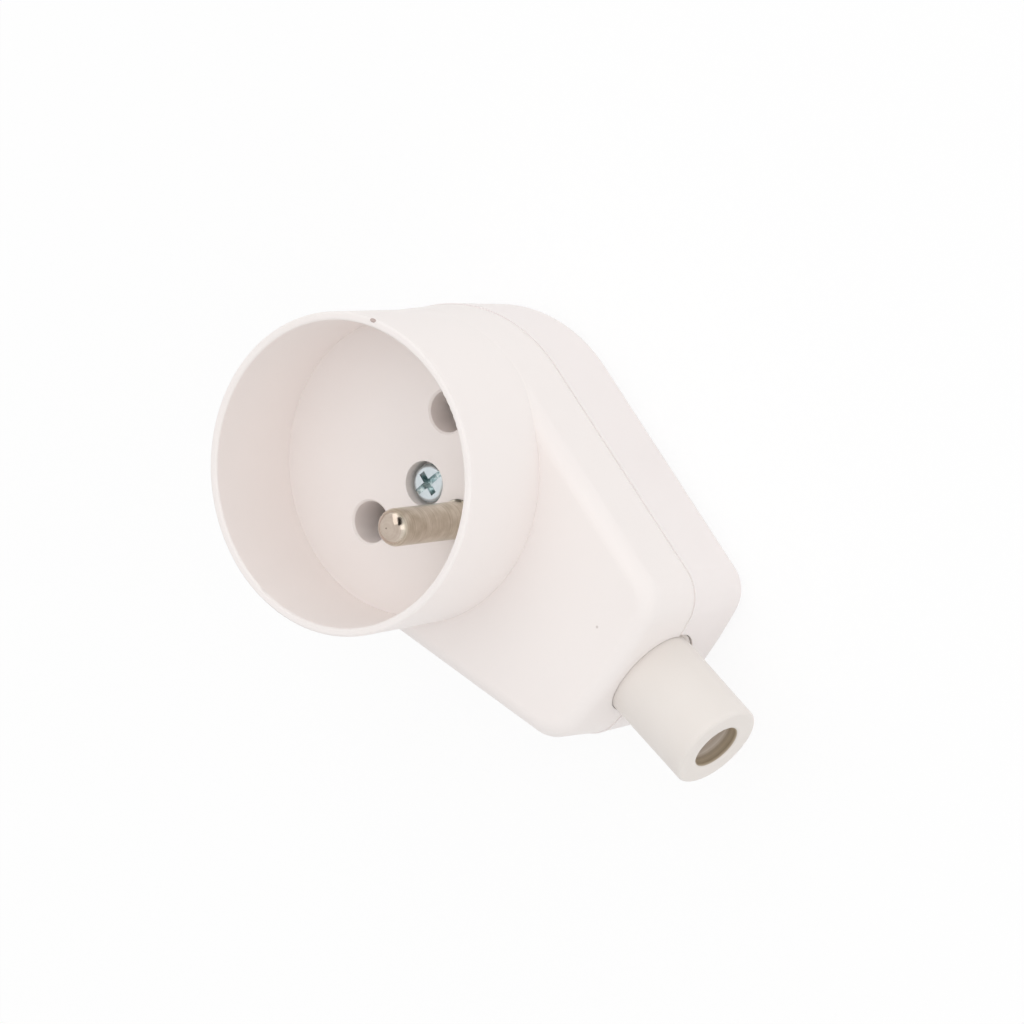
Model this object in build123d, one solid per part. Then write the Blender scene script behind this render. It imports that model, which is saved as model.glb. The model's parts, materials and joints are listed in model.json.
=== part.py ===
from build123d import *
from math import cos, radians, sin
import os

# Inline socket connector with a side cable exit, in millimetres.
# The origin is on the well's axis at the flat rear face.
# +Z points out of the well and +X points to the cable exit.

# Plug face, set by the round-pin plug that the connector takes
pin_spacing = 19.0
contact_hole_r = 2.7
earth_pin_x = 10.0
earth_pin_r = 2.4
earth_pin_reach = 15.2
earth_tip_height = 1.8
earth_collar_rise = 0.1

# Cup and well
well_r = 19.1
well_depth = 14.85
well_draft = 0.25
lip_wall = 1.1
cup_wall = 0.9
lip_r = 0.35
floor_rise = 0.5
hole_chamfer = 0.25

# Body shell, widest at the seam
body_margin = 0.27
body_taper = 11.46
end_x = 40.1
end_bow = 1.2
corner_r = 5.3
cover_depth = 13.2
housing_depth = 9.7
front_draft = 1.5
rear_draft = 3.0
front_edge_r = 2.2
rear_edge_r = 2.9
cover_proud = 0.12
wall = 2.0
rear_wall = 2.2
seam_chamfer = 0.12

# Tongue of the rear cover in the housing's rebate
tongue_height = 1.5
rebate = 0.9
tongue_gap = 0.1

# Housing screw, sunk in the well's floor
screw_to_pin = 6.8
screw_head_r = 2.45
screw_head_height = 1.9
screw_sink = 0.75
screw_r = 1.5
screw_length = 12.0
screw_head_room = 0.48
screw_seat = 1.6
screw_boss_r = 2.8
screw_crown_r = 0.6
slot_cut_width = 0.8
slot_cut_depth = 0.6
cross_length = 3.2
cross_width = 0.85
cross_depth = 1.4
cross_floor = 1.3
drive_turn = 75.4

# Earth pin's hidden tail, riveted to its strap
centre_boss_r = 4.1
earth_collar_r = 2.6
earth_flange_r = 3.1
earth_flange_height = 1.5
earth_tail_r = 1.7
earth_rivet_r = 2.8
earth_rivet_height = 1.0
earth_strap_width = 4.4
earth_eye_r = 3.1

# Sheet brass contacts
sheet = 0.8
sleeve_r = 2.4
sleeve_wall = 0.7
sleeve_length = 10.5
sleeve_slit = 0.8
slit_length = 7.5
contact_eye_r = 4.2
contact_collar = 5.0
tab_width = 4.4
spring_strip = 0.6
spring_height = 2.2
spring_opening = 50.0
spring_from_tip = 3.0

# Box terminals and their clamping screws
block_length = 7.0
block_width = 7.4
block_roof = 1.0
wire_hole = 4.6
tapped_wall = 2.6
contact_block_x = 13.0
block_room = 1.2
tab_overhang = 0.8
terminal_screw_r = 1.7
terminal_screw_length = 7.0
terminal_head_r = 2.7
terminal_head_height = 1.6

# Cable entry
cable_z = 13.65
exit_hole_r = 6.35
exit_lip = 0.6
cover_hole_room = 0.4
grommet_gap = 0.05
grommet_tip_r = 6.12
grommet_reach = 13.26
grommet_lean = 2.5
grommet_bore_r = 3.2
grommet_edge_r = 0.5
grommet_mouth_r = 0.5
grommet_lip = 0.25
grommet_flange = 1.6
grommet_play = 0.9
grommet_rib = 1.5
grommet_rib_r = 5.2

# Cable clamp
clamp_room = 0.6
clamp_margin = 1.6
clamp_width = 6.0
clamp_thickness = 2.6
clamp_rest = 1.0
clamp_boss_r = 2.7
clamp_screw_r = 1.45
clamp_screw_length = 8.2
clamp_head_r = 2.5
clamp_head_height = 1.8
clamp_nib_r = 1.1
saddle_r = 3.5
saddle_width = 10.0
saddle_thickness = 2.0

# Clearance of a shank in its hole, of pieces laid side by side, and the width of a screw slot
shank_gap = 0.05
side_gap = 0.15
slot_width = 0.7
slot_depth = 0.8

# Radii and heights worked out from the sizes above
rim_inner_r = well_r + well_draft
rim_outer_r = rim_inner_r + lip_wall
cup_base_r = well_r + cup_wall
body_r = cup_base_r + body_margin
counterbore_r = screw_head_r + screw_head_room
grommet_r = exit_hole_r - grommet_gap - wall * sin(radians(grommet_lean))
cover_hole_r = exit_hole_r + cover_hole_room
grommet_shoulder_r = cover_hole_r - side_gap
grommet_flange_r = cover_hole_r + grommet_lip
parting_z = cover_depth
front_face_z = parting_z + housing_depth
floor_z = front_face_z + floor_rise
rim_z = floor_z + well_depth
ceiling_z = front_face_z - wall
earth_collar_z = floor_z + earth_collar_rise
screw_seat_z = floor_z - screw_sink - screw_head_height
centre_boss_z = screw_seat_z - screw_seat
contact_plate_z = ceiling_z - contact_collar - sheet
earth_strap_z = centre_boss_z - earth_flange_height - sheet
clamp_seat_z = cable_z - clamp_rest

# Places along the body, worked out from the cable exit inwards
screw_x = earth_pin_x - screw_to_pin
inner_end_x = end_x - wall
pivot_x = end_x - wall / 2
flange_x = inner_end_x - grommet_play - grommet_flange
rib_x = flange_x - grommet_play - grommet_rib
clamp_x = rib_x - clamp_room - clamp_width / 2
earth_block_x = clamp_x - clamp_width / 2 - block_room - tab_overhang - block_length / 2
side_slope = radians(body_taper)
clamp_half_room = (body_r - wall - clamp_x * sin(side_slope)) / cos(side_slope)
clamp_y = clamp_half_room - clamp_width / 2 - clamp_margin
contact_places = {"line": (0, pin_spacing / 2), "neutral": (0, -pin_spacing / 2)}


def disc(x, y, z, r, height):
    """Upright cylinder standing on z."""
    return Pos(x, y, z) * extrude(Circle(r), height)


def lying_disc(x, y, z, r, length):
    """Cylinder that lies along +X from x."""
    return Plane.YZ.offset(x) * Pos(y, z) * extrude(Circle(r), length)


def block(x, y, z, length, width, height):
    """Box centred on x and y that stands on z."""
    return Pos(x, y, z) * extrude(Rectangle(length, width), height)


def plan(inset):
    """Plan of the body: round under the cup, tapering to a bowed end with rounded corners."""
    r = body_r - inset
    x = end_x - inset
    touch = (r * sin(side_slope), r * cos(side_slope))
    corner = (x - end_bow, (r - (x - end_bow) * sin(side_slope)) / cos(side_slope))
    round_end = ThreePointArc(touch, (-r, 0), (touch[0], -touch[1]))
    cable_end = ThreePointArc((corner[0], -corner[1]), (x, 0), corner)
    sides = Line(corner, touch).edges() + Line((touch[0], -touch[1]), (corner[0], -corner[1])).edges()
    face = make_face(round_end.edges() + cable_end.edges() + sides)
    return fillet(face.vertices().group_by(Axis.X)[-1], corner_r - inset)


def slab(inset, low, high, draft=0):
    """Body plan carried from one height to another, narrowing by the draft angle."""
    return Pos(0, 0, low) * extrude(plan(inset), high - low, taper=draft)


def turned(*points):
    """Solid of revolution about Z from radius and height pairs."""
    return revolve(Plane.XZ * make_face(Polyline(*points, close=True)), Axis.Z)


def cable_rib(z_low, z_high):
    """Rib across the cable entry that traps the grommet's flange."""
    rib_width = 2 * exit_hole_r + 2 * wall
    rib = block(rib_x + grommet_rib / 2, 0, z_low, grommet_rib, rib_width, z_high - z_low)
    return rib - lying_disc(rib_x, 0, cable_z, grommet_rib_r, grommet_rib)


def exit_hole(r, stop_x):
    """Round cut for the grommet, from inside the end wall out to stop_x."""
    start_x = inner_end_x - wall
    return lying_disc(start_x, 0, cable_z, r, stop_x - start_x)


def front_housing():
    """Cup, well floor and front half of the body, moulded as one piece."""
    body = slab(0, parting_z, front_face_z, front_draft)
    body = fillet(body.edges().group_by(Axis.Z)[-1], front_edge_r)
    body = chamfer(body.edges().group_by(Axis.Z)[0], seam_chamfer)
    root_z = front_face_z - front_edge_r - wall / 2
    cup = turned((0, root_z), (cup_base_r, root_z), (cup_base_r, front_face_z),
                 (rim_outer_r, rim_z), (0, rim_z))
    well = turned((0, floor_z), (well_r, floor_z), (rim_inner_r, rim_z), (0, rim_z))
    shell = body + cup - well
    shell = fillet(shell.edges().group_by(Axis.Z)[-1], lip_r)
    shell -= slab(wall, parting_z, ceiling_z, front_draft)
    shell -= slab(wall - rebate, parting_z, parting_z + tongue_height + tongue_gap)

    centre = block((screw_x + earth_pin_x) / 2, 0, centre_boss_z, earth_pin_x - screw_x,
                   2 * centre_boss_r, ceiling_z - centre_boss_z)
    for x in (screw_x, earth_pin_x):
        centre += disc(x, 0, centre_boss_z, centre_boss_r, ceiling_z - centre_boss_z)
    earth_pad_z = earth_strap_z + sheet + block_roof
    shell += centre + block(earth_block_x, 0, earth_pad_z, block_length, block_width, ceiling_z - earth_pad_z)
    contact_pad_z = contact_plate_z + sheet + block_roof
    pad_height = ceiling_z - contact_pad_z
    for x, y in contact_places.values():
        shell += disc(x, y, ceiling_z - contact_collar, contact_eye_r, contact_collar)
        shell += block(contact_block_x, y, contact_pad_z, block_length, block_width, pad_height)
    for side in (-1, 1):
        shell += disc(clamp_x, side * clamp_y, clamp_seat_z, clamp_boss_r, ceiling_z - clamp_seat_z)
    saddle = block(clamp_x, 0, cable_z, saddle_thickness, saddle_width, ceiling_z - cable_z)
    saddle -= lying_disc(clamp_x - saddle_thickness, 0, cable_z, saddle_r, 2 * saddle_thickness)
    shell += saddle + cable_rib(parting_z, ceiling_z)

    shell -= exit_hole(exit_hole_r, end_x + wall)
    shell -= exit_hole(cover_hole_r, end_x - exit_lip)
    shell -= disc(screw_x, 0, centre_boss_z, screw_r + shank_gap, floor_z - centre_boss_z)
    shell -= disc(screw_x, 0, screw_seat_z, counterbore_r, floor_z - screw_seat_z)
    shell -= disc(earth_pin_x, 0, centre_boss_z, earth_collar_r + shank_gap, floor_z - centre_boss_z)
    mouth_z = floor_z - hole_chamfer
    mouth_r = contact_hole_r + hole_chamfer
    mouth = turned((0, mouth_z), (contact_hole_r, mouth_z), (mouth_r, floor_z), (0, floor_z))
    for x, y in contact_places.values():
        shell -= disc(x, y, contact_plate_z, contact_hole_r, floor_z - contact_plate_z)
        shell -= Pos(x, y, 0) * mouth
    for side in (-1, 1):
        depth = clamp_screw_length - clamp_thickness + shank_gap
        shell -= disc(clamp_x, side * clamp_y, clamp_seat_z, clamp_screw_r + shank_gap, depth)
    return shell


def rear_cover():
    """Tray that closes the back, with the screw's boss and a rest under each contact sleeve."""
    tray = slab(-cover_proud, parting_z, 0, rear_draft)
    tray = fillet(tray.edges().group_by(Axis.Z)[0], rear_edge_r)
    tray -= slab(wall, parting_z, rear_wall, rear_draft)
    tongue = slab(wall - rebate + tongue_gap, parting_z, parting_z + tongue_height)
    tray += tongue - slab(wall, parting_z, parting_z + tongue_height)
    tray += disc(screw_x, 0, rear_wall, screw_boss_r, centre_boss_z - rear_wall)
    pilot_z = screw_seat_z - screw_length - side_gap
    tray -= disc(screw_x, 0, pilot_z, screw_r + shank_gap, centre_boss_z - pilot_z)
    rest_height = contact_plate_z - sleeve_length - rear_wall
    for x, y in contact_places.values():
        ring = disc(x, y, rear_wall, sleeve_r + 2 * sleeve_wall, rest_height)
        tray += ring - disc(x, y, rear_wall, sleeve_r + sleeve_wall / 2, rest_height)
    tray += cable_rib(rear_wall, parting_z)
    return tray - exit_hole(cover_hole_r, end_x + wall)


def cable_grommet():
    """Soft sleeve in the cable exit, held by a flange inside the end wall and a shoulder under its lip."""
    flange = flange_x - pivot_x
    neck = flange + grommet_flange
    outside = end_x - pivot_x
    shoulder = outside - exit_lip - side_gap
    tip = outside + grommet_reach
    sleeve = turned((grommet_bore_r, flange), (grommet_flange_r, flange), (grommet_flange_r, neck),
                    (grommet_shoulder_r, neck), (grommet_shoulder_r, shoulder), (grommet_r, shoulder),
                    (grommet_r, outside), (grommet_tip_r, tip), (grommet_bore_r, tip))
    sleeve = fillet(sleeve.edges().group_by(Axis.Z)[-1].sort_by(SortBy.LENGTH)[-1], grommet_edge_r)
    sleeve = fillet(sleeve.edges().group_by(Axis.Z)[-1].sort_by(SortBy.LENGTH)[0], grommet_mouth_r)
    return Pos(pivot_x, 0, cable_z) * Rot(0, 90 - grommet_lean, 0) * sleeve


def earth_pin():
    """Turned pin in the well, with a flange under the floor and a tail riveted to the strap."""
    tip_z = floor_z + earth_pin_reach
    rivet_z = earth_strap_z - earth_rivet_height
    flange_z = earth_strap_z + sheet
    shoulder = (earth_pin_r, tip_z - earth_tip_height)
    tip_r = (earth_pin_r**2 + earth_tip_height**2) / (2 * earth_tip_height)
    tip_arc = RadiusArc(shoulder, (0, tip_z), -tip_r)
    sides = Polyline((0, tip_z), (0, rivet_z), (earth_rivet_r, rivet_z), (earth_rivet_r, earth_strap_z),
                     (earth_tail_r, earth_strap_z), (earth_tail_r, flange_z), (earth_flange_r, flange_z),
                     (earth_flange_r, centre_boss_z), (earth_collar_r, centre_boss_z),
                     (earth_collar_r, earth_collar_z), (earth_pin_r, earth_collar_z), shoulder)
    section = make_face(tip_arc.edges() + sides.edges())
    return Pos(earth_pin_x, 0, 0) * revolve(Plane.XZ * section, Axis.Z)


def strap(eye_x, eye_y, z, eye_r, width, block_x):
    """Flat sheet strip with a round eye, long enough to pass through its terminal."""
    end = block_x + block_length / 2 + tab_overhang
    strip = block((eye_x + end) / 2, eye_y, z, end - eye_x, width, sheet)
    return disc(eye_x, eye_y, z, eye_r, sheet) + strip


def earth_strap():
    """Brass strip from the earth pin's tail to the earth terminal."""
    strip = strap(earth_pin_x, 0, earth_strap_z, earth_eye_r, earth_strap_width, earth_block_x)
    return strip - disc(earth_pin_x, 0, earth_strap_z, earth_tail_r + shank_gap, sheet)


def contact(x, y):
    """Drawn brass sleeve, slit into spring fingers, with a tab to its terminal."""
    low = contact_plate_z - sleeve_length
    piece = strap(x, y, contact_plate_z, contact_eye_r, tab_width, contact_block_x)
    piece += disc(x, y, low, sleeve_r + sleeve_wall, sleeve_length)
    piece -= disc(x, y, low, sleeve_r, sleeve_length + sheet)
    width = 2 * (sleeve_r + 2 * sleeve_wall)
    return piece - block(x, y, low, sleeve_slit, width, slit_length)


def contact_spring(x, y):
    """Open ring of steel strip that squeezes the sleeve's fingers."""
    ring_r = sleeve_r + sleeve_wall + shank_gap
    strip = Plane.XZ * Pos(ring_r + spring_strip / 2, 0) * Rectangle(spring_strip, spring_height)
    ring = revolve(strip, Axis.Z, 360 - spring_opening)
    z = contact_plate_z - sleeve_length + spring_from_tip
    return Pos(x, y, z) * Rot(0, 0, spring_opening / 2) * ring


def terminal(x, y, tab_z):
    """Brass box terminal, with the strap under its roof and a tapped wall behind."""
    top = tab_z + sheet + block_roof
    height = block_roof + wire_hole + tapped_wall
    box = block(x, y, top - height, block_length, block_width, height)
    box = chamfer(box.edges().filter_by(Axis.Z), side_gap)
    box -= block(x, y, top - height + tapped_wall, block_length, wire_hole, wire_hole)
    return box - disc(x, y, top - height, terminal_screw_r + shank_gap, tapped_wall)


def slotted_screw(x, y, tip_z, r, length, head_r, head_height):
    """Cheese-head screw with its head towards the rear cover and its tip at tip_z."""
    seat_z = tip_z - length
    head = disc(x, y, seat_z - head_height, head_r, head_height)
    head -= block(x, y, seat_z - head_height, 2 * head_r, slot_width, slot_depth)
    return head + disc(x, y, seat_z, r, length)


def cable_clamp_bar():
    """Moulded bar across the two clamp bosses, with a nib that bites the cable."""
    low = clamp_seat_z - clamp_thickness
    bar = block(clamp_x, 0, low, clamp_width, 2 * clamp_y, clamp_thickness)
    for side in (-1, 1):
        bar += disc(clamp_x, side * clamp_y, low, clamp_width / 2, clamp_thickness)
    nib = Plane.XZ * Pos(clamp_x, clamp_seat_z) * Circle(clamp_nib_r)
    bar += extrude(nib, saddle_r - clamp_nib_r, both=True)
    for side in (-1, 1):
        bar -= disc(clamp_x, side * clamp_y, low, clamp_screw_r + shank_gap, clamp_thickness)
    return bar


def housing_screw():
    """Pan-head screw from the well into the rear cover, with a combined cross and slot drive."""
    top = screw_seat_z + screw_head_height
    head = disc(screw_x, 0, screw_seat_z, screw_head_r, screw_head_height)
    head = fillet(head.edges().group_by(Axis.Z)[-1], screw_crown_r)
    drive = block(0, 0, top - slot_cut_depth, 2 * screw_head_r, slot_cut_width, slot_cut_depth)
    wing = Polyline((-cross_length / 2, top), (cross_length / 2, top), (cross_floor / 2, top - cross_depth),
                    (-cross_floor / 2, top - cross_depth), close=True)
    wing = extrude(Plane.XZ * make_face(wing), cross_width / 2, both=True)
    drive += wing + Rot(0, 0, 90) * wing
    head -= Pos(screw_x, 0, 0) * Rot(0, 0, drive_turn) * drive
    return head + disc(screw_x, 0, screw_seat_z - screw_length, screw_r, screw_length)


def terminal_screws():
    """The three wire screws, each tightened against its strap."""
    places = [(contact_block_x, y, contact_plate_z) for _, y in contact_places.values()]
    places.append((earth_block_x, 0, earth_strap_z))
    return [slotted_screw(x, y, z, terminal_screw_r, terminal_screw_length,
                          terminal_head_r, terminal_head_height) for x, y, z in places]


def cable_clamp_screws():
    """The two screws that hold the clamp bar to its bosses."""
    tip_z = clamp_seat_z - clamp_thickness + clamp_screw_length
    return [slotted_screw(clamp_x, side * clamp_y, tip_z, clamp_screw_r, clamp_screw_length,
                          clamp_head_r, clamp_head_height) for side in (-1, 1)]


nodes = {
    "front_housing": front_housing(),
    "rear_cover": rear_cover(),
    "cable_grommet": cable_grommet(),
    "earth_pin": earth_pin(),
    "earth_strap": earth_strap(),
    "earth_terminal": terminal(earth_block_x, 0, earth_strap_z),
    "housing_screw": housing_screw(),
    "cable_clamp_bar": cable_clamp_bar(),
    "terminal_screws": Compound(children=terminal_screws()),
    "cable_clamp_screws": Compound(children=cable_clamp_screws()),
}
for pole, (pole_x, pole_y) in contact_places.items():
    nodes[pole + "_contact"] = contact(pole_x, pole_y)
    nodes[pole + "_contact_spring"] = contact_spring(pole_x, pole_y)
    nodes[pole + "_terminal"] = terminal(contact_block_x, pole_y, contact_plate_z)

os.makedirs("parts", exist_ok=True)
for name, shape in nodes.items():
    export_step(shape, "parts/" + name + ".step")
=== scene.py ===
import json
from math import radians

import bmesh
import bpy
from mathutils import Matrix, Vector


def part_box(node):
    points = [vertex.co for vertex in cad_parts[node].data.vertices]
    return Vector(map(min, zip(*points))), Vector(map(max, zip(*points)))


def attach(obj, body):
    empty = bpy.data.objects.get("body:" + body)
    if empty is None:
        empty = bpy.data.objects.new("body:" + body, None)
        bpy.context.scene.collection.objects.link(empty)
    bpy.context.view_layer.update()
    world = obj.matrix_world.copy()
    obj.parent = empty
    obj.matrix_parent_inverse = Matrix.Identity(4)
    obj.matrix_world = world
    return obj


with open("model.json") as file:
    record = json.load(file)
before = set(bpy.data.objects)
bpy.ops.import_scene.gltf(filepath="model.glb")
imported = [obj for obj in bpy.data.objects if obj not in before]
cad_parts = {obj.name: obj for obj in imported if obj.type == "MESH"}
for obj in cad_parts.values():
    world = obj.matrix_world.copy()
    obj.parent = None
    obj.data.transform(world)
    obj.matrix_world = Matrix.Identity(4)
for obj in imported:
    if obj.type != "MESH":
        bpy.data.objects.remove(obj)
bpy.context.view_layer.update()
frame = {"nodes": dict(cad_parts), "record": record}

# Front housing: cup, well floor and front half of the shell in one shot of white polyamide.
# The tool is spark-eroded, so the skin is satin, with a fine grain and a slow drift in colour where the melt
# flowed. Light goes a little way into it. A dark speck by the cable end came in with the regrind.


def linear(hex_colour):
    """Linear RGBA of an sRGB hex colour."""
    parts = [int(hex_colour[i:i + 2], 16) / 255 for i in (1, 3, 5)]
    return [c / 12.92 if c <= 0.04045 else ((c + 0.055) / 1.055) ** 2.4 for c in parts] + [1.0]


def add(tree, kind, inputs=None, **settings):
    """Adds a node, sets its properties, and gives each named input a value or a link."""
    node = tree.nodes.new(kind)
    for name, value in settings.items():
        setattr(node, name, value)
    for name, value in (inputs or {}).items():
        if isinstance(value, bpy.types.NodeSocket):
            tree.links.new(value, node.inputs[name])
        else:
            node.inputs[name].default_value = value
    return node


def new_finish(name, **shader_values):
    """Starts a material, and returns it with its node tree and its shader."""
    finish = bpy.data.materials.new(name)
    finish.use_nodes = True
    shader = finish.node_tree.nodes["Principled BSDF"]
    for socket, value in shader_values.items():
        shader.inputs[socket.replace("_", " ")].default_value = value
    return finish, finish.node_tree, shader


def blend_colours(tree, share, first, second):
    """Colour between two hex colours or links, by a share from 0 to 1."""
    ends = [linear(end) if isinstance(end, str) else end for end in (first, second)]
    mix = add(tree, "ShaderNodeMix", {0: share, 6: ends[0], 7: ends[1]}, data_type="RGBA")
    return mix.outputs[2]


def dress(node, finish):
    """Gives a carried-over CAD node its finish."""
    mesh = frame["nodes"][node].data
    mesh.materials.clear()
    mesh.materials.append(finish)


def moulded_polyamide(name, colour, flow_colour, specks):
    """Satin moulded skin: slow colour drift, fine grain and any dark specks."""
    # Real eroded grain is about 0.05 mm, too fine to show, so it is drawn coarser.
    flow_mm, grain_mm, polish_mm = 16.0, 0.32, 7.0
    speck_depth, smooth_rough, grained_rough = 0.35, 0.48, 0.6
    grain_strength, grain_height = 0.08, 0.00003
    finish, tree, shader = new_finish(name, IOR=1.53, Subsurface_Weight=0.25, Subsurface_Scale=0.0008,
                                      Subsurface_Radius=(1.0, 1.0, 1.0))
    place = add(tree, "ShaderNodeTexCoord").outputs["Object"]
    flow = add(tree, "ShaderNodeTexNoise", {"Vector": place, "Scale": 1000 / flow_mm, "Detail": 3.0})
    tint = blend_colours(tree, flow.outputs["Fac"], colour, flow_colour)
    for centre, speck_r in specks:
        far = add(tree, "ShaderNodeVectorMath", {0: place, 1: centre}, operation="DISTANCE")
        shade = add(tree, "ShaderNodeMapRange", {"Value": far.outputs["Value"], "From Min": speck_r / 2,
                                                 "From Max": speck_r, "To Min": speck_depth, "To Max": 0.0})
        tint = blend_colours(tree, shade.outputs["Result"], tint, "#8a7468")
    tree.links.new(tint, shader.inputs["Base Color"])
    polish = add(tree, "ShaderNodeTexNoise", {"Vector": place, "Scale": 1000 / polish_mm, "Detail": 2.0})
    gloss = add(tree, "ShaderNodeMapRange",
                {"Value": polish.outputs["Fac"], "To Min": smooth_rough, "To Max": grained_rough})
    tree.links.new(gloss.outputs["Result"], shader.inputs["Roughness"])
    grain = add(tree, "ShaderNodeTexNoise", {"Vector": place, "Scale": 1000 / grain_mm, "Detail": 2.0})
    bump = add(tree, "ShaderNodeBump",
               {"Height": grain.outputs["Fac"], "Strength": grain_strength, "Distance": grain_height})
    tree.links.new(bump.outputs["Normal"], shader.inputs["Normal"])
    return finish


regrind_speck = ((0.03418, 0.00387, 0.0229), 0.00023)
dress("front_housing", moulded_polyamide("satin_white_polyamide", "#f8f1ee", "#f5eeeb", [regrind_speck]))

# Gate mark: where the runner was snapped off, on the outer corner of the cup's lip.
# A torn oval stub about a millimetre long, rooted in the lip and coloured a mottled brown-grey, darker than
# the lip.
gate_angle = radians(113.9)
gate_r, gate_z, gate_tilt = 0.0202, 0.03809, radians(42)
gate_length, gate_width, gate_height = 0.00105, 0.00055, 0.00017
# The stub is shaped one unit across and one high, and then scaled to its size.
stub_taper, torn_wall, torn_depth = 0.8, 0.12, 0.12
gate = bmesh.new()
bmesh.ops.create_circle(gate, cap_ends=True, segments=20, radius=0.5)
stub = bmesh.ops.extrude_face_region(gate, geom=gate.faces[:])["geom"]
stub_top = [v for v in stub if isinstance(v, bmesh.types.BMVert)]
bmesh.ops.translate(gate, verts=stub_top, vec=(0, 0, 1))
bmesh.ops.scale(gate, verts=stub_top, vec=(stub_taper, stub_taper, 1))
torn_face = [f for f in stub if isinstance(f, bmesh.types.BMFace)]
bmesh.ops.inset_region(gate, faces=torn_face, thickness=torn_wall, depth=-torn_depth, use_even_offset=True)
gate_size = Matrix.Diagonal((gate_width, gate_length, gate_height, 1))
gate_seat = Matrix.Translation((gate_r, 0, gate_z)) @ Matrix.Rotation(gate_tilt, 4, "Y")
round_the_lip = Matrix.Rotation(gate_angle, 4, "Z")
bmesh.ops.transform(gate, verts=gate.verts[:], matrix=round_the_lip @ gate_seat @ gate_size)
bmesh.ops.recalc_face_normals(gate, faces=gate.faces[:])
gate_mesh = bpy.data.meshes.new("rim_gate_mark")
gate.to_mesh(gate_mesh)
gate.free()
gate_mark = bpy.data.objects.new("rim_gate_mark", gate_mesh)
bpy.context.scene.collection.objects.link(gate_mark)
tear_mm = 0.2
gate_finish, gate_tree, gate_shader = new_finish("brown_grey_polyamide", IOR=1.53, Roughness=0.6)
gate_place = add(gate_tree, "ShaderNodeTexCoord").outputs["Object"]
tear = add(gate_tree, "ShaderNodeTexNoise", {"Vector": gate_place, "Scale": 1000 / tear_mm, "Detail": 3.0})
# The stub is mottled from a light to a darker brown-grey.
stub_tint = blend_colours(gate_tree, tear.outputs["Fac"], "#a8948f", "#d0c0ba")
gate_tree.links.new(stub_tint, gate_shader.inputs["Base Color"])
gate_mesh.materials.append(gate_finish)
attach(gate_mark, "root")

# Earth pin: brass rod turned on a lathe, nickel plated and tumbled, and pressed up through the floor.
# Fine turning rings run round the shank, which is warm and dull. The dome is burnished smooth, and its colour
# is painted browner and darker as a painted reflection. A dot of painted shade marks the centre pip at its
# top, and painted shade darkens the top of the collar at its foot.
pin_low, pin_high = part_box("earth_pin")
dome_height, dome_fade_start, dome_fade_full, pip_shade_r = 0.0018, 0.0005, 0.0011, 0.00013
collar_shade_place, collar_shade_r, painted_shade_depth = (0.00856, 0.00198, 0.02345), 0.0007, 0.8
# A lathe leaves rings about 0.05 mm apart, too fine to show, so they are drawn coarser.
ring_mm, ring_run_mm, blotch_mm = 0.16, 6.67, 1.6
ring_strength, ring_depth = 0.12, 0.00002
wear_offset, wear_full, shank_rough, dome_rough = -0.1, 0.35, 0.34, 0.13
pin_finish, pin_tree, pin_shader = new_finish("nickel_plated_brass", Metallic=1.0)
pin_place = add(pin_tree, "ShaderNodeTexCoord").outputs["Object"]
ring_grid = add(pin_tree, "ShaderNodeMapping",
                {"Vector": pin_place, "Scale": (1000 / ring_run_mm, 1000 / ring_run_mm, 1000 / ring_mm)})
rings = add(pin_tree, "ShaderNodeTexNoise",
            {"Vector": ring_grid.outputs["Vector"], "Scale": 1.0, "Detail": 3.0})
blotches = add(pin_tree, "ShaderNodeTexNoise",
               {"Vector": pin_place, "Scale": 1000 / blotch_mm, "Detail": 3.0})
rubbed = add(pin_tree, "ShaderNodeMath",
             {0: rings.outputs["Fac"], 1: blotches.outputs["Fac"], 2: wear_offset}, operation="MULTIPLY_ADD")
wear = add(pin_tree, "ShaderNodeMapRange",
           {"Value": rubbed.outputs[0], "From Min": 0.0, "From Max": wear_full})
plating = blend_colours(pin_tree, wear.outputs["Result"], "#bfb5a2", "#e6dfd2")
# Painted reflection: the dome's colour is darker and browner than the shank's plating.
dome_painted_reflection = blend_colours(pin_tree, wear.outputs["Result"], "#b8a99b", "#cdbfb2")
dome_z = pin_high.z - dome_height
pin_z = add(pin_tree, "ShaderNodeSeparateXYZ", {"Vector": pin_place}).outputs["Z"]
dome = add(pin_tree, "ShaderNodeMapRange",
           {"Value": pin_z, "From Min": dome_z + dome_fade_start, "From Max": dome_z + dome_fade_full})
plating = blend_colours(pin_tree, dome.outputs["Result"], plating, dome_painted_reflection)
# Painted shade: a dark patch on the top of the collar at the pin's foot.
from_collar_shade = add(pin_tree, "ShaderNodeVectorMath", {0: pin_place, 1: collar_shade_place}, operation="DISTANCE")
collar_shade = add(pin_tree, "ShaderNodeMapRange", {"Value": from_collar_shade.outputs["Value"], "From Min": collar_shade_r / 2,
                                           "From Max": collar_shade_r, "To Min": painted_shade_depth, "To Max": 0.0})
plating = blend_colours(pin_tree, collar_shade.outputs["Result"], plating, "#4a4436")
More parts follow.
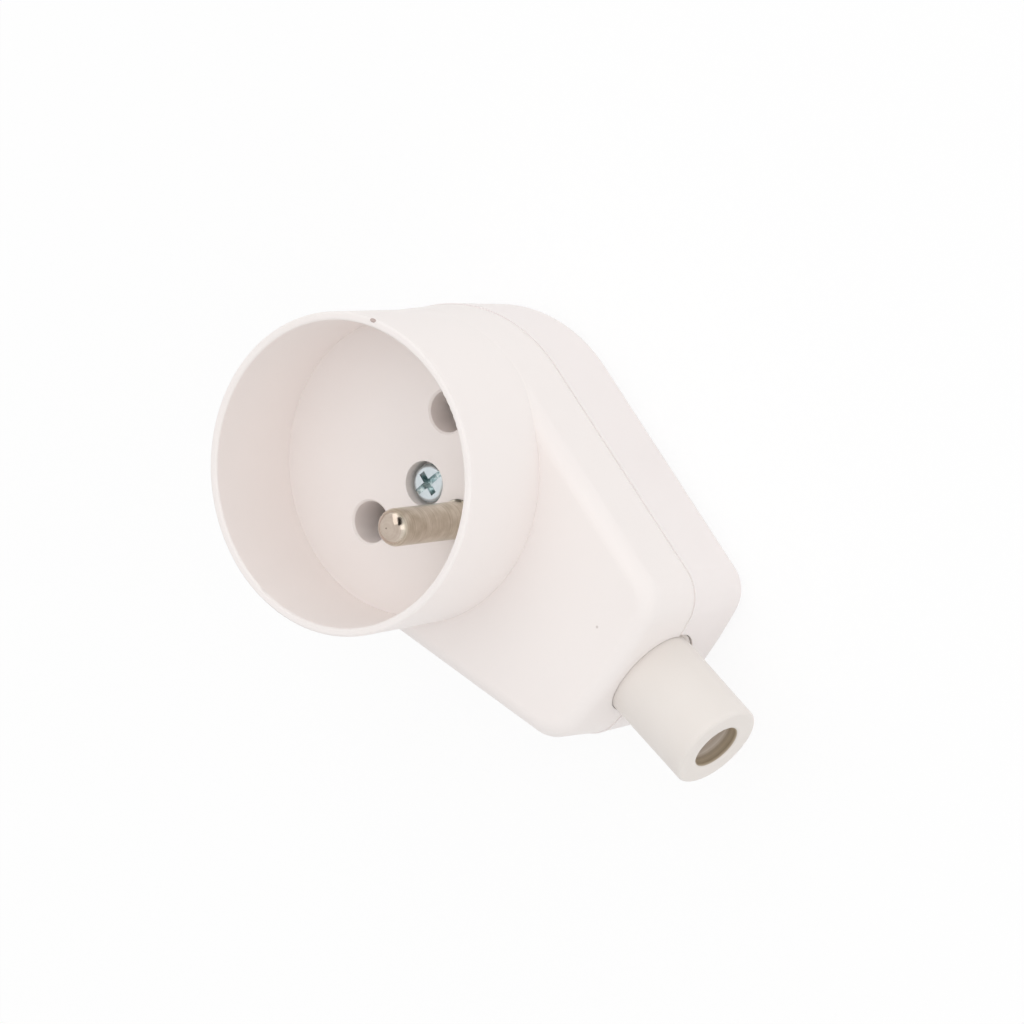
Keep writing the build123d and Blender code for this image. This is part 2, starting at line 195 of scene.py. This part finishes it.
# Painted shade: a dark dot at the apex marks the centre pip.
apex = ((pin_low.x + pin_high.x) / 2, (pin_low.y + pin_high.y) / 2, pin_high.z)
from_apex = add(pin_tree, "ShaderNodeVectorMath", {0: pin_place, 1: apex}, operation="DISTANCE")
pip_shade = add(pin_tree, "ShaderNodeMapRange", {"Value": from_apex.outputs["Value"], "From Min": pip_shade_r / 2,
                                           "From Max": pip_shade_r, "To Min": painted_shade_depth, "To Max": 0.0})
plating = blend_colours(pin_tree, pip_shade.outputs["Result"], plating, "#5a4a3c")
pin_tree.links.new(plating, pin_shader.inputs["Base Color"])
pin_gloss = add(pin_tree, "ShaderNodeMapRange",
                {"Value": dome.outputs["Result"], "To Min": shank_rough, "To Max": dome_rough})
pin_tree.links.new(pin_gloss.outputs["Result"], pin_shader.inputs["Roughness"])
pin_bump = add(pin_tree, "ShaderNodeBump",
               {"Height": rings.outputs["Fac"], "Strength": ring_strength, "Distance": ring_depth})
pin_tree.links.new(pin_bump.outputs["Normal"], pin_shader.inputs["Normal"])
dress("earth_pin", pin_finish)

# Earth strap, contacts and box terminals: pressed and drawn from brass sheet and bar, then tumbled.
# Bare brass dulls a little, so the colour and the gloss drift from bright yellow to tan.
tarnish_mm, bright_rough, dull_rough = 3.5, 0.25, 0.42
brass_finish, brass_tree, brass_shader = new_finish("tumbled_sheet_brass", Metallic=1.0)
brass_place = add(brass_tree, "ShaderNodeTexCoord").outputs["Object"]
tarnish = add(brass_tree, "ShaderNodeTexNoise",
              {"Vector": brass_place, "Scale": 1000 / tarnish_mm, "Detail": 4.0})
brass_tint = blend_colours(brass_tree, tarnish.outputs["Fac"], "#c9a45c", "#a98a52")
brass_tree.links.new(brass_tint, brass_shader.inputs["Base Color"])
brass_gloss = add(brass_tree, "ShaderNodeMapRange",
                  {"Value": tarnish.outputs["Fac"], "To Min": bright_rough, "To Max": dull_rough})
brass_tree.links.new(brass_gloss.outputs["Result"], brass_shader.inputs["Roughness"])
dress("earth_strap", brass_finish)
dress("earth_terminal", brass_finish)
for pole in ("line", "neutral"):
    dress(pole + "_contact", brass_finish)
    dress(pole + "_terminal", brass_finish)

# Contact springs: open rings of oiled spring steel strip, snapped round the sleeves.
# Heat treatment leaves a blue-grey skin, with drawn lines round the ring.
line_mm, line_run_mm = 0.2, 6.0
spring_finish, spring_tree, spring_shader = new_finish("oiled_spring_steel", Metallic=1.0, Roughness=0.3)
spring_place = add(spring_tree, "ShaderNodeTexCoord").outputs["Object"]
drawn_grid = add(spring_tree, "ShaderNodeMapping",
                 {"Vector": spring_place, "Scale": (1000 / line_run_mm, 1000 / line_run_mm, 1000 / line_mm)})
drawn = add(spring_tree, "ShaderNodeTexNoise",
            {"Vector": drawn_grid.outputs["Vector"], "Scale": 1.0, "Detail": 2.0})
temper = blend_colours(spring_tree, drawn.outputs["Fac"], "#6c6e74", "#8b8d92")
spring_tree.links.new(temper, spring_shader.inputs["Base Color"])
for pole in ("line", "neutral"):
    dress(pole + "_contact_spring", spring_finish)

# Cable clamp bar: a small moulding in the shell's polyamide, screwed across the cable.
# It never shows, so it comes from a mixed batch that is a touch creamier.
dress("cable_clamp_bar", moulded_polyamide("creamy_polyamide", "#ece5e0", "#e6ded8", []))

# Cable grommet: a soft PVC sleeve that leans a little out of the cable exit, trapped by its flange. It is
# creamier and duller than the shell. The bore is painted brown-grey as painted shade, darkest in the mouth
# and ringed by the core pin's turning marks, and painted paler further in as painted light through the wall.
cable_bore = next(mount for mount in frame["record"]["mounts"] if mount["name"] == "cable_bore")
bore_place, bore_axis = Vector(cable_bore["pos_m"]), Vector(cable_bore["axis"])
bore_r = cable_bore["dims"]["r_mm"] / 1000
tip_past_mount, mouth_band, mouth_fade, skin_edge = 0.00826, 0.0012, 0.0007, 0.00007
blush_mm, pore_mm, core_ring_mm = 9.0, 0.4, 0.5
pore_strength, pore_depth = 0.1, 0.00003
grommet_finish, grommet_tree, grommet_shader = new_finish("soft_cream_pvc", IOR=1.5, Roughness=0.52,
                                                          Subsurface_Weight=0.25, Subsurface_Scale=0.0008,
                                                          Subsurface_Radius=(1.0, 1.0, 1.0))
grommet_place = add(grommet_tree, "ShaderNodeTexCoord").outputs["Object"]
blush = add(grommet_tree, "ShaderNodeTexNoise",
            {"Vector": grommet_place, "Scale": 1000 / blush_mm, "Detail": 3.0})
skin = blend_colours(grommet_tree, blush.outputs["Fac"], "#eee8e3", "#e8e1db")
offset = add(grommet_tree, "ShaderNodeVectorMath", {0: grommet_place, 1: bore_place}, operation="SUBTRACT")
along = add(grommet_tree, "ShaderNodeVectorMath",
            {0: offset.outputs["Vector"], 1: bore_axis}, operation="DOT_PRODUCT")
swing = add(grommet_tree, "ShaderNodeVectorMath",
            {0: offset.outputs["Vector"], 1: bore_axis}, operation="CROSS_PRODUCT")
radius = add(grommet_tree, "ShaderNodeVectorMath", {0: swing.outputs["Vector"]}, operation="LENGTH")
band_start = tip_past_mount - mouth_band
mouth = add(grommet_tree, "ShaderNodeMapRange",
            {"Value": along.outputs["Value"], "From Min": band_start - mouth_fade, "From Max": band_start})
core_rings = add(grommet_tree, "ShaderNodeTexNoise",
                 {"W": along.outputs["Value"], "Scale": 1000 / core_ring_mm, "Detail": 2.0},
                 noise_dimensions="1D")
# Painted light and shade in the bore: paler deep in, darker brown-grey in the mouth, ringed by turning marks.
deep_bore_painted_light = blend_colours(grommet_tree, core_rings.outputs["Fac"], "#f4ece4", "#cdbfae")
mouth_painted_shade = blend_colours(grommet_tree, core_rings.outputs["Fac"], "#cabba4", "#978671")
bore_painted_shade = blend_colours(grommet_tree, mouth.outputs["Result"], deep_bore_painted_light, mouth_painted_shade)
in_bore = add(grommet_tree, "ShaderNodeMapRange",
              {"Value": radius.outputs["Value"], "From Min": bore_r + skin_edge,
               "From Max": bore_r + 2 * skin_edge, "To Min": 1.0, "To Max": 0.0})
skin_and_bore_shade = blend_colours(grommet_tree, in_bore.outputs["Result"], skin, bore_painted_shade)
grommet_tree.links.new(skin_and_bore_shade, grommet_shader.inputs["Base Color"])
pores = add(grommet_tree, "ShaderNodeTexNoise",
            {"Vector": grommet_place, "Scale": 1000 / pore_mm, "Detail": 2.0})
pitting = add(grommet_tree, "ShaderNodeBump",
              {"Height": pores.outputs["Fac"], "Strength": pore_strength, "Distance": pore_depth})
grommet_tree.links.new(pitting.outputs["Normal"], grommet_shader.inputs["Normal"])
dress("cable_grommet", grommet_finish)

# Rear cover: the back half of the shell, in the same polyamide from another shot, a touch greyer.
# It drops over the contacts with its tongue in the housing's rebate.
dress("rear_cover", moulded_polyamide("satin_white_polyamide_cover", "#f7f0ee", "#f4edeb", []))

# Screws: cold-headed steel, zinc plated and clear passivated, which gives a pale blue-white. In the drive of
# the housing screw's head the colour is painted darker and greener as painted shade, mottled by driver scuffs
# that also dent it.
spangle_mm, scuff_mm, recess_shade_start, recess_shade_full = 0.5, 0.45, 0.0002, 0.0004
scuff_low, scuff_high, dent_strength, dent_depth = 0.42, 0.58, 0.3, 0.00005


def passivated_zinc(name, head_top):
    """Bright zinc with a fine spangle, and painted shade below the top of a head that faces up, where there
    is one.
    """
    finish, tree, shader = new_finish(name, Metallic=1.0, Roughness=0.32)
    place = add(tree, "ShaderNodeTexCoord").outputs["Object"]
    spangle = add(tree, "ShaderNodeTexNoise", {"Vector": place, "Scale": 1000 / spangle_mm, "Detail": 3.0})
    tint = blend_colours(tree, spangle.outputs["Fac"], "#c7d0d4", "#d9e0e3")
    if head_top:
        height = add(tree, "ShaderNodeSeparateXYZ", {"Vector": place}).outputs["Z"]
        # Painted shade: darker, greener zinc below the head's top, in the drive.
        recess_shade = add(tree, "ShaderNodeMapRange",
                   {"Value": height, "From Min": head_top - recess_shade_full, "From Max": head_top - recess_shade_start,
                    "To Min": 1.0, "To Max": 0.0})
        scuff = add(tree, "ShaderNodeTexNoise", {"Vector": place, "Scale": 1000 / scuff_mm, "Detail": 2.0})
        scuffed_shade = add(tree, "ShaderNodeMapRange",
                   {"Value": scuff.outputs["Fac"], "From Min": scuff_low, "From Max": scuff_high})
        drive_painted_shade = blend_colours(tree, scuffed_shade.outputs["Result"], "#e0ebeb", "#a2b6b8")
        tint = blend_colours(tree, recess_shade.outputs["Result"], tint, drive_painted_shade)
        dent = add(tree, "ShaderNodeBump",
                   {"Height": scuff.outputs["Fac"], "Strength": dent_strength, "Distance": dent_depth})
        tree.links.new(dent.outputs["Normal"], shader.inputs["Normal"])
    tree.links.new(tint, shader.inputs["Base Color"])
    return finish


dress("housing_screw", passivated_zinc("passivated_zinc_recessed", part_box("housing_screw")[1].z))
inner_zinc = passivated_zinc("passivated_zinc", None)
dress("terminal_screws", inner_zinc)
dress("cable_clamp_screws", inner_zinc)

# Stage: a pale floor in a white room, with two softboxes, three fill lamps that no mirror shows, and a dark
# flag that only mirrors show. Rays from the camera and from mirrors see the floor and the room as white, and
# the floor keeps a soft shadow.
room_light = 0.68
world = bpy.data.worlds.new("white_room")
bpy.context.scene.world = world
world.use_nodes = True


def mirror_share(tree):
    """1 for rays from the camera, a mirror or glass, and 0 for the rays that light a surface."""
    rays = add(tree, "ShaderNodeLightPath").outputs
    seen = add(tree, "ShaderNodeMath", {0: rays["Is Camera Ray"], 1: rays["Is Glossy Ray"]})
    any_seen = add(tree, "ShaderNodeMath", {0: seen.outputs[0], 1: rays["Is Transmission Ray"]},
                   use_clamp=True)
    return any_seen.outputs[0]


def stand(name, half_x, half_y, place, turn, finish):
    """Flat stage card with its place in its mesh."""
    card = bmesh.new()
    bmesh.ops.create_grid(card, x_segments=1, y_segments=1, size=1.0)
    card_size = Matrix.Diagonal((half_x, half_y, 1, 1))
    bmesh.ops.transform(card, verts=card.verts[:], matrix=Matrix.Translation(place) @ turn @ card_size)
    mesh = bpy.data.meshes.new(name)
    card.to_mesh(mesh)
    card.free()
    mesh.materials.append(finish)
    piece = bpy.data.objects.new(name, mesh)
    bpy.context.scene.collection.objects.link(piece)
    return piece


room = world.node_tree.nodes["Background"]
level = add(world.node_tree, "ShaderNodeMapRange",
            {"Value": mirror_share(world.node_tree), "To Min": room_light})
room.inputs["Color"].default_value = linear("#ffffff")
world.node_tree.links.new(level.outputs["Result"], room.inputs["Strength"])

floor_half, floor_drop, floor_glow = 4.0, 0.00005, 0.86
floor_finish = bpy.data.materials.new("pale_studio_paper")
floor_finish.use_nodes = True
floor_tree = floor_finish.node_tree
floor_tree.nodes.clear()
share = add(floor_tree, "ShaderNodeMath", {0: mirror_share(floor_tree), 1: floor_glow}, operation="MULTIPLY")
paper = add(floor_tree, "ShaderNodeBsdfDiffuse", {"Color": linear("#ffffff")})
glow = add(floor_tree, "ShaderNodeEmission", {"Color": linear("#ffffff"), "Strength": 1.0})
surface = add(floor_tree, "ShaderNodeMixShader",
              {0: share.outputs[0], 1: paper.outputs[0], 2: glow.outputs[0]})
add(floor_tree, "ShaderNodeOutputMaterial", {"Surface": surface.outputs[0]})
stand("studio_floor", floor_half, floor_half, (0, 0, -floor_drop), Matrix.Identity(4), floor_finish)

aim = Vector((0.012, 0, 0.02))


def facing(direction, long_side):
    """Unit vector of a direction, and the turn with Z along it and X as near as can be to a long side."""
    z = Vector(direction).normalized()
    y = z.cross(Vector(long_side)).normalized()
    return z, Matrix((y.cross(z), y, z)).transposed().to_4x4()


flag_half_length, flag_half_width, flag_distance = 0.6, 0.3, 1.3
flag_finish, _, flag_shader = new_finish("black_flag_cloth", Roughness=0.9)
flag_shader.inputs["Base Color"].default_value = linear("#1c1814")
flag_towards, flag_turn = facing((0.06, 0.85, 0.52), (0.86, -0.23, 0.45))
flag_place = aim + flag_distance * flag_towards
flag = stand("dark_flag", flag_half_length, flag_half_width, flag_place, flag_turn, flag_finish)
flag.visible_camera = flag.visible_diffuse = flag.visible_shadow = False

softbox_distance = 1.1
# Each lamp: its direction from the object, the way its long side runs, length, width, watts, seen in mirrors.
softboxes = {"strip_behind": ((-0.42, 0.70, 0.58), (0.72, -0.06, 0.69), 1.6, 0.5, 2.2, True),
             "softbox_beside": ((0.64, 0.63, 0.44), (0, 0, 1), 0.55, 0.55, 0.8, True),
             "fill_above": ((-0.30, 0.02, 0.95), (1, 0, 0), 0.8, 0.8, 1.2, False),
             "fill_front": ((0.39, 0.43, 0.81), (0, 0, 1), 0.5, 0.5, 0.7, False),
             "fill_end": ((0.80, -0.10, 0.55), (0, 0, 1), 0.8, 0.8, 0.9, False)}
for name, (direction, long_side, length, width, watts, mirrored) in softboxes.items():
    lamp = bpy.data.lights.new(name, "AREA")
    lamp.shape, lamp.size, lamp.size_y, lamp.energy = "RECTANGLE", length, width, watts
    softbox = bpy.data.objects.new(name, lamp)
    bpy.context.scene.collection.objects.link(softbox)
    towards, turn = facing(direction, long_side)
    softbox.matrix_world = Matrix.Translation(aim + softbox_distance * towards) @ turn
    softbox.visible_glossy = mirrored

# Camera: a long lens over the cable side, rolled so that the cup opens to the left of the picture.
# Its place and its directions come from a fit to the rim, the holes, the pin and the edges in the photo.
camera_right = Vector((0.62844475, 0.51840941, -0.57992145))
camera_up = Vector((-0.67207246, 0.73723863, -0.06926621))
camera_back = Vector((0.39163224, 0.43327922, 0.81172243))
camera_place = Vector((0.3342707, 0.3590086, 0.6838724))
lens = bpy.data.cameras.new("camera")
lens.sensor_width, lens.lens = 36.0, 227.511
lens.clip_start, lens.clip_end = 0.05, 20.0
camera = bpy.data.objects.new("camera", lens)
camera_turn = Matrix((camera_right, camera_up, camera_back)).transposed().to_4x4()
camera.matrix_world = Matrix.Translation(camera_place) @ camera_turn
bpy.context.scene.collection.objects.link(camera)
bpy.context.scene.camera = camera
bpy.context.scene.view_settings.view_transform = "Standard"
